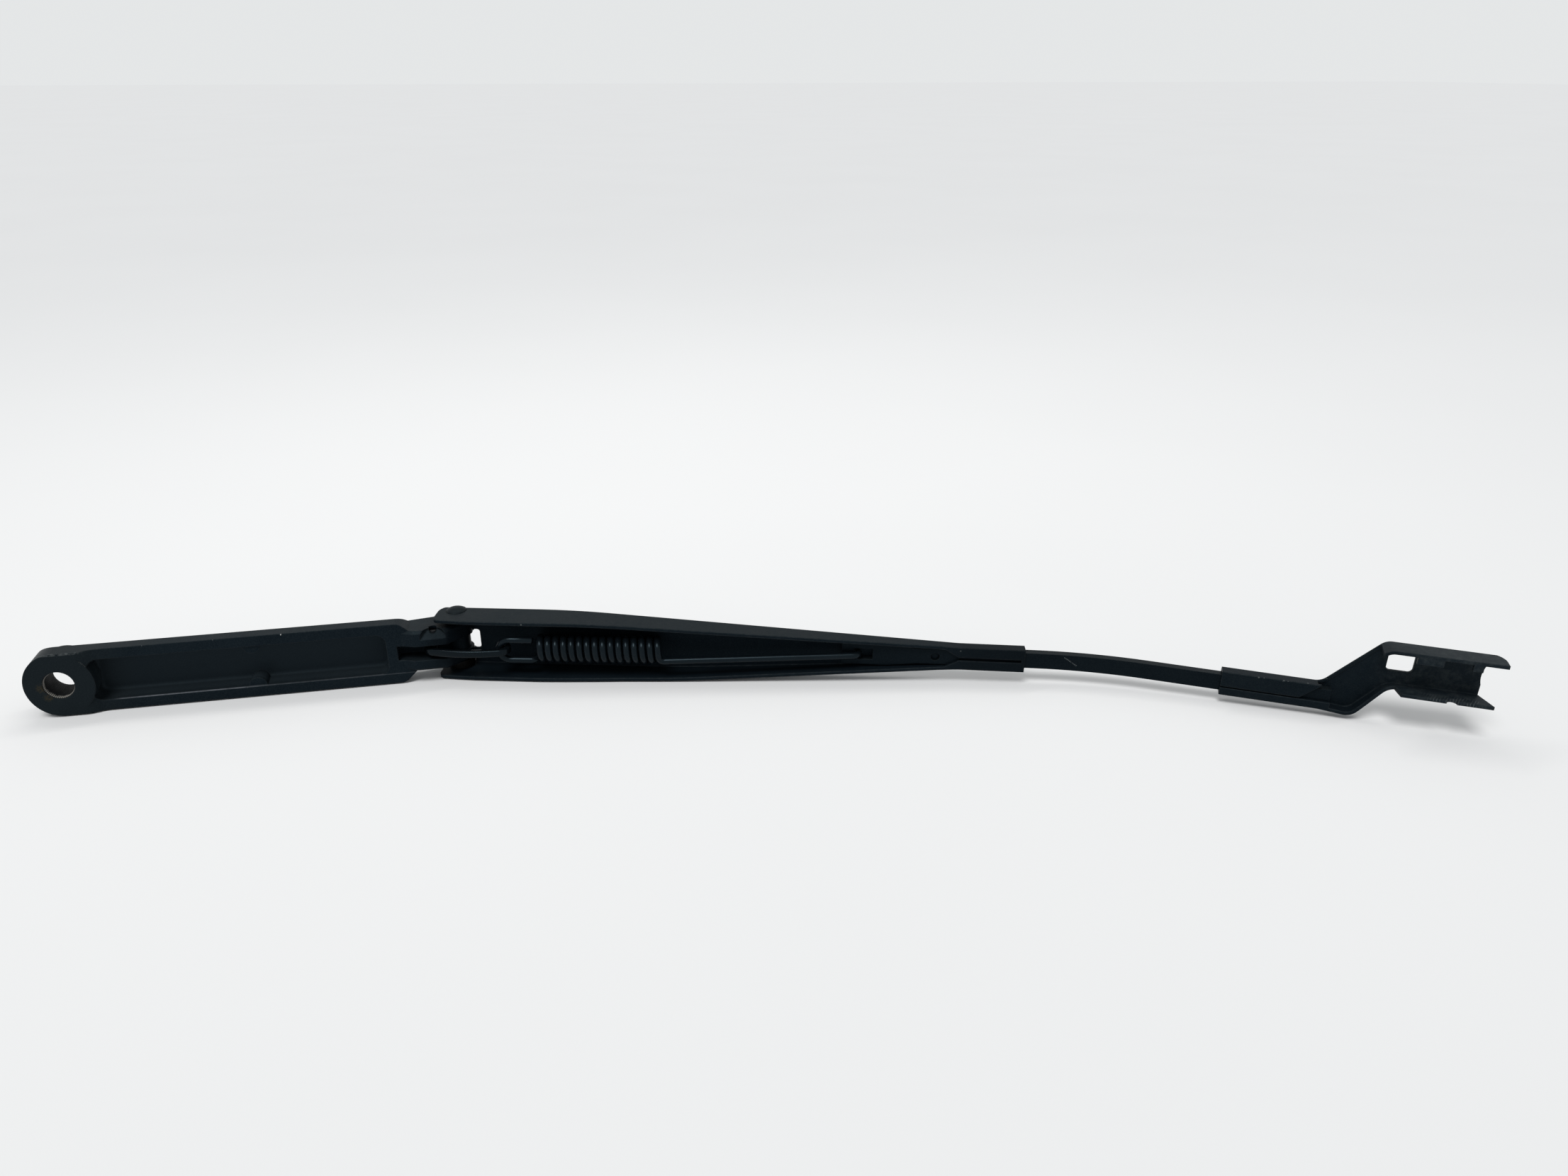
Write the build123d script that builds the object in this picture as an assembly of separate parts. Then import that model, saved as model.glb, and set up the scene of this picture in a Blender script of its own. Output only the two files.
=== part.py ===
from build123d import *
import math
import os

# Wiper arm without its blade. Sizes in millimetres, angles in degrees.
# Everything is drawn glass side up: x runs from the spindle to the tip, y across the arm,
# z towards the glass. At the end the arm is laid on its long side, glass side towards -Y.

# Mounting head
BORE_DIAMETER = 12.7
BOSS_DIAMETER = 28.6
BOSS_HEIGHT = 16.5
BOSS_END_REACH = 13.7
NUT_RECESS_DIAMETER = 19.0
NUT_RECESS_DEPTH = 3.4
NUT_RECESS_WALL = 1.6
HEAD_WIDTH = 29.2
HEAD_DEPTH = 14.0
RIM_DROP = 2.0
RIM_START_X = 8.0
RIM_RUN = 9.0
FLANK_HEIGHT = 6.0
SHOULDER_X = 147.0
SHOULDER_CUT = 6.5
SHOULDER_ROUND = 6.0
POCKET_START_X = 12.0
POCKET_END_X = 134.0
POCKET_WIDTH = 19.6
POCKET_DEPTH = 8.5
POCKET_CORNER = 4.0
POCKET_DRAFT = 4.0
POCKET_FLOOR_ROUND = 1.8
PAD_X = 78.0
PAD_RADIUS = 3.8
PAD_DROP = 0.8

# Hinge and spring anchor
HINGE_X = 165.0
HINGE_DEPTH = 12.0
HINGE_DIAMETER = 6.0
HINGE_HEAD_DIAMETER = 9.4
HINGE_HEAD_HEIGHT = 1.5
HINGE_TAIL_HEIGHT = 0.6
BUSH_WALL = 0.75
BUSH_FLANGE_DIAMETER = 11.6
BUSH_LENGTH = 6.4
KNUCKLE_RADIUS = 6.2
BARREL_RADIUS = 5.0
FORK_CLEARANCE = 3.3
FORK_OFFSET = 1.0
FORK_CHAMFER = 1.2
FACET_DEPTH = 4.3
FACET_RADIUS = 5.6
SLOT_WIDTH = 7.0
SLOT_DEPTH = 9.6
SLOT_START_X = 138.5
HOOK_PIN_DIAMETER = 3.5
HOOK_PIN_BACK = 10.3
HOOK_PIN_RISE = 8.0
HOOK_PIN_INSET = 0.6

# Folded channel
ARM_DROOP = 14.5
SHEET = 1.5
WEB_BELOW_HINGE = 4.2
WALL_ABOVE_HINGE = 12.0
WALL_AT_TAPER = 9.6
WALL_BEHIND_HINGE = 7.8
EAR_DROP = 1.2
EAR_BACK_ROUND = 6.0
EAR_FRONT_ROUND = 3.0
WEB_START = 9.2
WEB_NOTCH_WIDTH = 10.0
WEB_NOTCH_ROUND = 1.8
BEND_RADIUS = 1.8
TAPER_START = 78.0
TAPER_STAGGER = 24.0
RAKE = 1.2
CRIMP_START = 228.0
CRIMP_LENGTH = 29.5
FLAP_LEAD = 9.0
TAPER_BLEND = 450.0
CRIMP_BLEND = 60.0
CRIMP_GAP = 0.4
SEAM = 1.5
BUTTON_X = 217.5
BUTTON_DIAMETER = 3.8
BUTTON_HEIGHT = 2.2

# Flat bar
ROD_WIDTH = 7.4
ROD_THICKNESS = 3.6
ROD_TAIL_X = 175.5
ROD_TAIL_WIDTH = 10.4
ROD_TAIL_LENGTH = 20.0
ROD_FLARE_LENGTH = 14.0
SPRING_HOLE_X = 181.0
SPRING_HOLE_LENGTH = 8.4
SPRING_HOLE_WIDTH = 5.3
ROD_BEND_X = 262.0
ROD_BEND_RADIUS = 215.0
ROD_BEND = 13.2
ROD_END_RUN = 75.6

# Spring and link
WIRE_DIAMETER = 3.2
WIRE_SIDES = 8
STEPS_PER_TURN = 12
COIL_RADIUS = 5.0
COIL_PITCH = 3.45
COIL_TURNS = 15.5
LOOP_LEG = 9.5
LOOP_FREE_LEG = 9.6
WIRE_BEND = 2.5
LINK_LENGTH = 29.0
LINK_THICKNESS = 3.4
LINK_STRAP = 2.8
LINK_SAG = 3.6

# Blade connector, measured from the end of the bar's bend
SLEEVE_START = 31.0
SLEEVE_END = 71.3
SLEEVE_GAP = 0.7
SLEEVE_SEAM = 0.7
SLEEVE_SEAM_OFFSET = -1.4
SLEEVE_CUT = 8.0
JOG_LOW_X = 84.6
JOG_LOW_DROP = 1.4
JOG_END_X = 96.8
JOG_RADIUS = 6.0
TROUGH_START = 92.4
TROUGH_WEB_END = 130.6
TROUGH_LOWER_END = 135.6
TROUGH_UPPER_END = 136.8
TROUGH_WIDTH = 20.4
TROUGH_OFFSET = 18.2
TROUGH_WALL = 11.0
TROUGH_END_RADIUS = 7.0
LOWER_WALL_START = 99.2
SCOOP_RADIUS = 12.0
WINDOW_X = 99.9
WINDOW_LENGTH = 10.4
WINDOW_WIDTH = 8.6
WINDOW_OFFSET = 1.2
WINDOW_CORNER = 1.8
LIP_DEPTH = 3.0
LONG_LIP_X = 108.4
LONG_LIP_LENGTH = 10.0
SHORT_LIP_X = 126.0
SHORT_LIP_LENGTH = 3.8
NOTCH_X = 120.0
NOTCH_RADIUS = 2.0

# Clearances
RUNNING_GAP = 0.05
SIDE_GAP = 0.5
KNUCKLE_GAP = 0.2
SEAT_GAP = 0.1
HOOK_GAP = 0.8
HOOK_SEAT = 0.4
PLAN_EASE = 0.02

# Frames: the hinge, the tapered run that leans to one side, and the bar past its bend
HINGE = Pos(HINGE_X, 0, -HINGE_DEPTH)
ARM = HINGE * Rot(0, -ARM_DROOP, 0)
LEAN = Pos(TAPER_START, 0, 0) * Rot(0, 0, -RAKE) * Pos(-TAPER_START, 0, 0)
LAID_ON_SIDE = Rot(90, 0, 0)

web_outer = -WEB_BELOW_HINGE
web_inner = web_outer + SHEET
rod_middle = web_inner + ROD_THICKNESS / 2
rod_top = web_inner + ROD_THICKNESS
flap_top = rod_top + SHEET
bend_rad = math.radians(ROD_BEND)
bend_end_x = ROD_BEND_X + ROD_BEND_RADIUS * math.sin(bend_rad)
bend_end_z = rod_middle + ROD_BEND_RADIUS * (1 - math.cos(bend_rad))
TIP = LEAN * Pos(bend_end_x, 0, bend_end_z) * Rot(0, -ROD_BEND, 0)

hinge_half = HEAD_WIDTH / 2
fork_width = HEAD_WIDTH - 2 * (SHEET + FORK_CLEARANCE)
fork_high = FORK_OFFSET + fork_width / 2
fork_low = FORK_OFFSET - fork_width / 2
bush_outer = HINGE_DIAMETER + 2 * (RUNNING_GAP + BUSH_WALL)
bush_face = hinge_half - SHEET - SIDE_GAP
crimp_low = -ROD_WIDTH / 2 - SHEET
crimp_high = ROD_WIDTH / 2 + CRIMP_GAP + SHEET
sleeve_low = -ROD_WIDTH / 2 - SHEET
sleeve_high = ROD_WIDTH / 2 + SLEEVE_GAP + SHEET
trough_low = TROUGH_OFFSET - TROUGH_WIDTH / 2
trough_high = TROUGH_OFFSET + TROUGH_WIDTH / 2
jog_low = sleeve_low - JOG_LOW_DROP


def slab(points, bottom, top):
    """Straight prism over an outline in plan."""
    outline = make_face(Polyline(*points, close=True))
    return Pos(0, 0, bottom) * extrude(outline, top - bottom)


def cross_bar(diameter, low, high):
    """Round bar across the arm, from y = low to y = high."""
    bar = Cylinder(diameter / 2, high - low, rotation=(-90, 0, 0))
    return Pos(0, (low + high) / 2, 0) * bar


def side_prism(face, width):
    """A face drawn in x and z, as wide as the given width across the arm."""
    return extrude(Plane.XZ * face, width / 2, both=True)


def lay(shape):
    return LAID_ON_SIDE * shape


def head_body():
    """Crowned lever: level with the boss at its end, then straight flanks and one round back."""
    half = HEAD_WIDTH / 2
    crown = HEAD_DEPTH - FLANK_HEIGHT
    flank = -RIM_DROP - FLANK_HEIGHT
    back = ThreePointArc((-half, flank), (0, flank - crown), (half, flank))
    front = Polyline((half, flank), (half, 0), (-half, 0), (-half, flank))
    section = Plane.YZ * make_face([back, front])
    run = extrude(section, SHOULDER_X)
    run += Rot(0, 0, 180) * extrude(section, HEAD_WIDTH)
    edge = half + PLAN_EASE
    plan = Ellipse(BOSS_END_REACH, edge) + Pos(SHOULDER_X / 2, 0) * Rectangle(SHOULDER_X, 2 * edge)
    plan = chamfer(plan.vertices().group_by(Axis.X)[-1], SHOULDER_CUT)
    plan = fillet(plan.vertices().group_by(Axis.X)[-2], SHOULDER_ROUND)
    body = run & Pos(0, 0, -BOSS_HEIGHT) * extrude(plan, BOSS_HEIGHT)
    return body - side_prism(rim_cut(), 2 * HEAD_WIDTH)


def rim_cut():
    """What is taken off above the rims: an easy step down from the boss, then level."""
    low_x = RIM_START_X + RIM_RUN
    step = Spline((RIM_START_X, 0), (low_x, -RIM_DROP), tangents=[(1, 0), (1, 0)])
    above = Polyline(
        (low_x, -RIM_DROP), (2 * SHOULDER_X, -RIM_DROP), (2 * SHOULDER_X, RIM_DROP),
        (RIM_START_X, RIM_DROP), (RIM_START_X, 0),
    )
    return make_face([step, above])


def head_pocket():
    length = POCKET_END_X - POCKET_START_X
    outline = RectangleRounded(length, POCKET_WIDTH, POCKET_CORNER)
    cut = extrude(outline, -POCKET_DEPTH, taper=POCKET_DRAFT)
    cut = fillet(cut.edges().group_by(Axis.Z)[0], POCKET_FLOOR_ROUND)
    cut += extrude(outline, RIM_DROP)
    cut = Pos((POCKET_START_X + POCKET_END_X) / 2, 0, -RIM_DROP) * cut
    for side in (1, -1):
        pad = Cylinder(PAD_RADIUS, POCKET_DEPTH, align=(Align.CENTER, Align.CENTER, Align.MAX))
        cut -= Pos(PAD_X, side * POCKET_WIDTH / 2, -RIM_DROP - PAD_DROP) * pad
    return cut


def fork():
    """Neck and knuckle, as one side outline carried across the fork."""
    pin_x = HINGE_X - HOOK_PIN_BACK
    front = HOOK_PIN_RISE - HINGE_DEPTH
    nose = -front
    neck_x = SHOULDER_X - SHOULDER_CUT
    corners = [
        (HINGE_X, -HINGE_DEPTH, KNUCKLE_RADIUS),
        (pin_x + nose, front, nose),
        (SHOULDER_X, front, nose),
        (neck_x, -HEAD_DEPTH + nose, nose),
        (neck_x - nose, -RIM_DROP - FLANK_HEIGHT, nose),
    ]
    edges = [e for x, z, r in corners for e in (Pos(x, z) * Circle(r)).edges()]
    outline = make_hull(edges)
    neck = side_prism(outline, fork_width)
    long_edges = neck.edges().filter_by(Axis.X).group_by(Axis.Z)[-1]
    neck = chamfer(long_edges, FORK_CHAMFER)
    up = (Align.CENTER, Align.CENTER, Align.MIN)
    facet = Cylinder(FACET_RADIUS, fork_width, rotation=(-45, 0, 0), align=up)
    neck -= Pos(pin_x, fork_width / 2 - FACET_DEPTH, 0) * facet
    return Pos(0, FORK_OFFSET, 0) * neck


def fork_slot():
    """Slot for the spring link; only the barrel round the hinge is left standing in it."""
    length = HINGE_X - SLOT_START_X
    top = Box(length, SLOT_WIDTH, 2 * SLOT_DEPTH, align=(Align.MIN, Align.CENTER, Align.CENTER))
    reach = 2 * HINGE_DEPTH + 2 * KNUCKLE_RADIUS
    end = Box(2 * KNUCKLE_RADIUS, SLOT_WIDTH, 2 * reach, align=(Align.MIN, Align.CENTER, Align.CENTER))
    barrel = HINGE * cross_bar(2 * BARREL_RADIUS, -SLOT_WIDTH, SLOT_WIDTH)
    return Pos(SLOT_START_X, 0, 0) * top + Pos(HINGE_X, 0, 0) * end - barrel


def mounting_head():
    body = head_body() + fork() - head_pocket()
    down = (Align.CENTER, Align.CENTER, Align.MAX)
    boss = Cylinder(BOSS_DIAMETER / 2, RIM_DROP + FLANK_HEIGHT, align=down)
    half = (Align.MIN, Align.CENTER, Align.MAX)
    body += boss & Box(BOSS_DIAMETER, BOSS_DIAMETER, BOSS_HEIGHT, align=half)
    body += Cylinder(NUT_RECESS_DIAMETER / 2 + NUT_RECESS_WALL, BOSS_HEIGHT, align=down)
    body -= Cylinder(BORE_DIAMETER / 2, BOSS_HEIGHT, align=down)
    recess = Cylinder(NUT_RECESS_DIAMETER / 2, 2 * NUT_RECESS_DEPTH)
    body -= Pos(0, 0, -BOSS_HEIGHT) * recess
    body -= fork_slot()
    body -= HINGE * cross_bar(bush_outer, -HEAD_WIDTH, HEAD_WIDTH)
    body -= hook_pin_place() * cross_bar(HOOK_PIN_DIAMETER, -HEAD_WIDTH, HEAD_WIDTH)
    return body


def hook_pin_place():
    return HINGE * Pos(-HOOK_PIN_BACK, 0, HOOK_PIN_RISE)


def hook_pin():
    low = fork_low + HOOK_PIN_INSET
    high = fork_high - 2 * HOOK_PIN_INSET
    return hook_pin_place() * cross_bar(HOOK_PIN_DIAMETER, low, high)


def hinge_bush(cheek):
    """Flanged sleeve pressed into the fork from the cheek whose place across the arm is given."""
    side = 1 if cheek > 0 else -1
    reach = abs(cheek)
    sleeve = cross_bar(bush_outer, reach - BUSH_LENGTH, reach)
    flange = cross_bar(BUSH_FLANGE_DIAMETER, reach, bush_face)
    bush = sleeve + flange
    bush -= cross_bar(HINGE_DIAMETER + 2 * RUNNING_GAP, 0, HEAD_WIDTH)
    if side < 0:
        bush = mirror(bush, about=Plane.XZ)
    return HINGE * bush


def hinge_rivet():
    """Domed head on the upper wall, low flat head on the lower one."""
    shank = cross_bar(HINGE_DIAMETER, -hinge_half, hinge_half)
    head_radius = HINGE_HEAD_DIAMETER / 2
    dome_radius = (head_radius**2 + HINGE_HEAD_HEIGHT**2) / (2 * HINGE_HEAD_HEIGHT)
    dome = Pos(0, hinge_half + HINGE_HEAD_HEIGHT - dome_radius, 0) * Sphere(dome_radius)
    wide = 4 * dome_radius
    above = Box(wide, wide, wide, align=(Align.CENTER, Align.MIN, Align.CENTER))
    dome &= Pos(0, hinge_half, 0) * above
    tail = cross_bar(HINGE_HEAD_DIAMETER, -hinge_half - HINGE_TAIL_HEIGHT, -hinge_half)
    return HINGE * (shank + dome + tail)


def leaning(x, y):
    """Point of the leaning run, in the arm's own plan."""
    point = (LEAN * Pos(x, y, 0)).position
    return (point.X, point.Y)


def channel_plan():
    """Plan of the folded channel: wide at the hinge, then tapered to the crimp."""
    start = -WALL_BEHIND_HINGE
    end = CRIMP_START + CRIMP_LENGTH
    high = [
        (start, hinge_half), (TAPER_START - TAPER_STAGGER, hinge_half),
        leaning(CRIMP_START, crimp_high), leaning(end, crimp_high),
    ]
    low = [
        leaning(end, crimp_low), leaning(CRIMP_START, crimp_low),
        (TAPER_START + TAPER_STAGGER, -hinge_half), (start, -hinge_half),
    ]
    plan = make_face(Polyline(*high, *low, close=True))
    plan = fillet(plan.vertices().sort_by(Axis.X)[2:4], TAPER_BLEND)
    return fillet(plan.vertices().sort_by(Axis.X)[-4:-2], CRIMP_BLEND)


def wall_outline():
    """Side outline of both walls: rounded ear at the hinge, then a long taper to the crimp."""
    back = -WALL_BEHIND_HINGE
    crimp_end = CRIMP_START + CRIMP_LENGTH
    shoulder = (back, WALL_ABOVE_HINGE - EAR_DROP)
    top = Spline(
        shoulder, (WEB_START, WALL_ABOVE_HINGE), (TAPER_START, WALL_AT_TAPER),
        tangents=[(1, 0.12), (1, -0.08)],
    )
    rest = Polyline(
        (TAPER_START, WALL_AT_TAPER), (CRIMP_START - FLAP_LEAD, flap_top), (crimp_end + SHEET, flap_top),
        (crimp_end + SHEET, web_outer), (back, web_outer), shoulder,
    )
    outline = make_face([top, rest])
    low, high = outline.vertices().group_by(Axis.X)[0].sort_by(Axis.Y)
    outline = fillet(low, EAR_BACK_ROUND)
    high = outline.vertices().group_by(Axis.X)[0].sort_by(Axis.Y)[-1]
    return fillet(high, EAR_FRONT_ROUND)


def crimp_flap(edge):
    """One flap folded over the bar from the given edge, with a slanted lead and a cut end corner."""
    side = 1 if edge > 0 else -1
    inner = side * SEAM / 2
    end = CRIMP_START + CRIMP_LENGTH
    lead_edge = edge + side * FLAP_LEAD * math.tan(taper_angle())
    points = [
        (CRIMP_START - FLAP_LEAD, lead_edge), (CRIMP_START, inner), (end - SHEET, inner),
        (end, inner + side * SHEET), (end, edge), (CRIMP_START, edge),
    ]
    return LEAN * slab(points, rod_top, flap_top)


def taper_angle():
    return math.atan((hinge_half - crimp_high) / (CRIMP_START - TAPER_START))


def folded_sheet(plan, bottom, height):
    """Tray folded from one sheet: rounded bends along its length, open at the top."""
    tray = Pos(0, 0, bottom) * extrude(plan, height)
    bends = tray.edges().group_by(Axis.Z)[0].filter_by(lambda e: abs(e.tangent_at(0.5).X) > 0.5)
    tray = fillet(bends, BEND_RADIUS)
    return tray - Pos(0, 0, bottom + SHEET) * extrude(offset(plan, -SHEET), height)


def web_opening(height):
    """Clears the fork's knuckle, with a deeper round-cornered notch behind its barrel."""
    clear = math.sqrt((KNUCKLE_RADIUS + KNUCKLE_GAP) ** 2 - web_inner**2)
    back = (Align.MAX, Align.CENTER, Align.CENTER)
    reach = clear + 2 * WALL_BEHIND_HINGE
    opening = Pos(clear, 0, 0) * Box(reach, HEAD_WIDTH - 2 * SHEET, height, align=back)
    notch = RectangleRounded(2 * WEB_START, WEB_NOTCH_WIDTH, WEB_NOTCH_ROUND)
    return opening + Pos(0, -FORK_OFFSET, 0) * extrude(notch, height / 2, both=True)


def arm_channel():
    height = WALL_ABOVE_HINGE - web_outer
    shell = folded_sheet(channel_plan(), web_outer, height)
    shell -= web_opening(4 * height)
    mouth = Box(CRIMP_LENGTH, ROD_WIDTH + CRIMP_GAP, ROD_THICKNESS)
    shell -= LEAN * Pos(CRIMP_START + CRIMP_LENGTH, CRIMP_GAP / 2, rod_middle) * mouth
    shell &= side_prism(wall_outline(), 2 * HEAD_WIDTH)
    shell += crimp_flap(crimp_high)
    shell += crimp_flap(crimp_low)
    up = (Align.CENTER, Align.CENTER, Align.MIN)
    place = LEAN * Pos(BUTTON_X, 0, 0)
    button = BUTTON_DIAMETER / 2
    shell += place * Pos(0, 0, web_inner) * Cylinder(button, BUTTON_HEIGHT, align=up)
    shell -= place * Pos(0, 0, web_outer) * Cylinder(button - SHEET / 4, BUTTON_HEIGHT / 2, align=up)
    shell -= cross_bar(HINGE_DIAMETER, -HEAD_WIDTH, HEAD_WIDTH)
    return ARM * shell


def wiper_rod():
    """Flat bar: flared tail with the spring hole, one flatwise bend, straight end."""
    tail = ROD_TAIL_WIDTH / 2
    slim = ROD_WIDTH / 2
    flare_x = ROD_TAIL_X + ROD_TAIL_LENGTH
    slim_x = flare_x + ROD_FLARE_LENGTH
    upper = [(ROD_TAIL_X, tail), (flare_x, tail), (slim_x, slim), (ROD_BEND_X, slim)]
    lower = [(x, -y) for x, y in reversed(upper)]
    bar = slab(upper + lower, web_inner, rod_top)
    along = (Align.MIN, Align.CENTER, Align.CENTER)
    hole = Box(SPRING_HOLE_LENGTH, SPRING_HOLE_WIDTH, 4 * ROD_THICKNESS, align=along)
    bar -= Pos(SPRING_HOLE_X, 0, 0) * hole
    bar -= Pos(BUTTON_X, 0, rod_middle) * Cylinder(BUTTON_DIAMETER / 2 + SEAT_GAP, 2 * ROD_THICKNESS)
    path = JernArc((ROD_BEND_X, rod_middle), (1, 0), ROD_BEND_RADIUS, ROD_BEND)
    path += Line(path @ 1, path @ 1 + (path % 1) * ROD_END_RUN)
    strip = trace(path, ROD_THICKNESS)
    bar += side_prism(strip, ROD_WIDTH)
    return ARM * LEAN * bar


def spring_line():
    """Start and end of the spring's pull, in the arm's frame: at the link and in the bar's hole."""
    start = Vector(-HOOK_PIN_BACK, 0, HOOK_PIN_RISE).rotate(Axis.Y, ARM_DROOP)
    seat = WIRE_DIAMETER / 2 + HOOK_SEAT
    end = (LEAN * Pos(SPRING_HOLE_X + seat, 0, rod_top + seat)).position
    return start, end


def link_frame():
    """On the hook pin, x along the pull, y towards the back of the arm, z across it."""
    start, end = spring_line()
    pull = Vector(end.X - start.X, 0, end.Z - start.Z)
    return Plane(origin=start, x_dir=pull, z_dir=(0, 1, 0)).location


def spring_link():
    """Stamped hook: one eye round the pin, one round the spring's loop, a sagging strap between."""
    pin_eye = HOOK_PIN_DIAMETER / 2 + RUNNING_GAP
    wire_eye = WIRE_DIAMETER / 2 + HOOK_GAP
    pin_rim = pin_eye + LINK_STRAP
    wire_rim = wire_eye + LINK_STRAP
    middle = LINK_LENGTH / 2
    low = LINK_SAG + LINK_STRAP
    outline = [
        ThreePointArc((0, -pin_eye), (middle, -LINK_SAG), (LINK_LENGTH, -wire_eye)),
        ThreePointArc((LINK_LENGTH, -wire_eye), (LINK_LENGTH + wire_eye, 0), (LINK_LENGTH, wire_eye)),
        Line((LINK_LENGTH, wire_eye), (LINK_LENGTH, wire_rim)),
        ThreePointArc((LINK_LENGTH, wire_rim), (LINK_LENGTH + wire_rim, 0), (LINK_LENGTH, -wire_rim)),
        ThreePointArc((LINK_LENGTH, -wire_rim), (middle, -low), (0, -pin_rim)),
        ThreePointArc((0, -pin_rim), (-pin_rim, 0), (0, pin_rim)),
        Line((0, pin_rim), (0, pin_eye)),
        ThreePointArc((0, pin_eye), (-pin_eye, 0), (0, -pin_eye)),
    ]
    plate = extrude(make_face(outline), LINK_THICKNESS / 2, both=True)
    return ARM * link_frame() * plate


def facet_points(curves):
    """Points along joined curves, with round ones stepped like the coil."""
    points = [curves[0] @ 0]
    for curve in curves:
        edge = curve.edge()
        turns = 0 if edge.geom_type == GeomType.LINE else edge.length / (2 * math.pi * curve_radius(edge))
        steps = max(1, round(turns * STEPS_PER_TURN))
        points += [edge @ ((k + 1) / steps) for k in range(steps)]
    return points


def curve_radius(edge):
    return edge.radius if edge.geom_type == GeomType.CIRCLE else COIL_RADIUS


def tension_spring():
    """Left-hand coil with a round loop at the link and a straight leg hooked into the bar."""
    start, end = spring_line()
    pull = (end - start).normalized()
    loop = start + pull * LINK_LENGTH
    frame = Plane(origin=loop, x_dir=(0, 1, 0), z_dir=pull)
    r = COIL_RADIUS
    lead = math.atan(COIL_PITCH / (2 * math.pi * r))
    turn = WIRE_BEND * math.tan((math.pi / 2 - lead) / 2)
    rise = turn * math.cos(lead)
    run = turn * (1 + math.sin(lead))

    elbow_start = r + LOOP_LEG
    free_end = Line((-r, 0, r + LOOP_FREE_LEG), (-r, 0, r))
    bow = ThreePointArc((-r, 0, r), (0, 0, 0), (r, 0, r))
    bow_leg = Line((r, 0, r), (r, 0, elbow_start))
    coil = Pos(0, -rise, elbow_start + run) * Helix(COIL_PITCH, COIL_TURNS * COIL_PITCH, r, lefthand=True)
    first_elbow = TangentArc((r, 0, elbow_start), coil @ 0, tangent=(0, 0, 1))
    corner = coil @ 1 + (coil % 1) * turn
    target = Vector(0, 0, (end - loop).length)
    leg_way = (target - corner).normalized()
    leg_start = corner + leg_way * turn
    second_elbow = TangentArc(coil @ 1, leg_start, tangent=coil % 1)
    hook_start = target - leg_way * WIRE_BEND
    leg = Line(leg_start, hook_start)
    hook_end = target + Vector(0, -WIRE_BEND, 0)
    hook = TangentArc(hook_start, hook_end, tangent=leg_way)
    tip = Line(hook_end, hook_end + Vector(0, -ROD_THICKNESS / 3, 0))
    curves = [free_end, bow, bow_leg, first_elbow, coil, second_elbow, leg, hook, tip]
    path = Polyline(*facet_points(curves))
    section = Plane(origin=path @ 0, z_dir=path % 0) * RegularPolygon(WIRE_DIAMETER / 2, WIRE_SIDES)
    return ARM * frame.location * sweep(section, path, transition=Transition.RIGHT)


def connector_plan():
    """Plan of the connector's folded sheet: sleeve, jog and trough, with rounded turns."""
    corners = [
        (SLEEVE_START, sleeve_high), (SLEEVE_END, sleeve_high), (TROUGH_START, trough_high),
        (TROUGH_UPPER_END, trough_high), (TROUGH_UPPER_END, trough_low), (JOG_END_X, trough_low),
        (JOG_LOW_X, jog_low), (SLEEVE_END, sleeve_low), (SLEEVE_START, sleeve_low),
    ]
    plan = make_face(Polyline(*corners, close=True))
    by_length = plan.vertices().sort_by(Axis.X)
    return fillet(by_length[2:7], JOG_RADIUS)


def sleeve_flaps():
    """Two flaps folded over the bar; the seam lies below the middle."""
    seam_low = SLEEVE_SEAM_OFFSET - SLEEVE_SEAM / 2
    seam_high = SLEEVE_SEAM_OFFSET + SLEEVE_SEAM / 2
    upper = [
        (SLEEVE_START, seam_high), (SLEEVE_END - SLEEVE_CUT, seam_high),
        (SLEEVE_END, sleeve_high), (SLEEVE_START, sleeve_high),
    ]
    end = SLEEVE_END + 3 * SHEET
    lower = [(SLEEVE_START, sleeve_low), (end, sleeve_low), (end, seam_low), (SLEEVE_START, seam_low)]
    bottom = ROD_THICKNESS / 2
    return slab(upper, bottom, bottom + SHEET) + slab(lower, bottom, bottom + SHEET)


def lower_edge(bottom, top):
    """Above the lower wall: level along the sleeve, falling along the jog, then the trough's wall."""
    flap = ROD_THICKNESS / 2 + SHEET
    wall_x = LOWER_WALL_START
    outline = make_face(Polyline(
        (0, flap), (JOG_LOW_X + 2 * SHEET, flap), (wall_x, bottom + 3 * SHEET), (wall_x + SHEET, top),
        (wall_x + SHEET, 2 * top), (0, 2 * top), close=True,
    ))
    far = 2 * TROUGH_LOWER_END
    end = make_face(Polyline(
        (TROUGH_WEB_END, bottom), (TROUGH_LOWER_END, top), (TROUGH_LOWER_END, 2 * top),
        (far, 2 * top), (far, 2 * bottom), (TROUGH_WEB_END, 2 * bottom), close=True,
    ))
    cut = extrude(Plane.XZ * outline, -TROUGH_OFFSET) + extrude(Plane.XZ * outline, TROUGH_OFFSET)
    return cut + extrude(Plane.XZ * end, -TROUGH_OFFSET)


def upper_edge(bottom):
    """Above the upper wall: only a low lip is left on the jog's slope."""
    far = 2 * TROUGH_UPPER_END
    inward = 5 * SHEET
    slope = [
        (SLEEVE_END - SHEET, sleeve_high - inward), (TROUGH_START - SHEET, trough_high - inward),
        (TROUGH_START - SHEET, far), (SLEEVE_END - SHEET, far),
    ]
    return slab(slope, bottom + 1.3 * SHEET, far)


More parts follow.
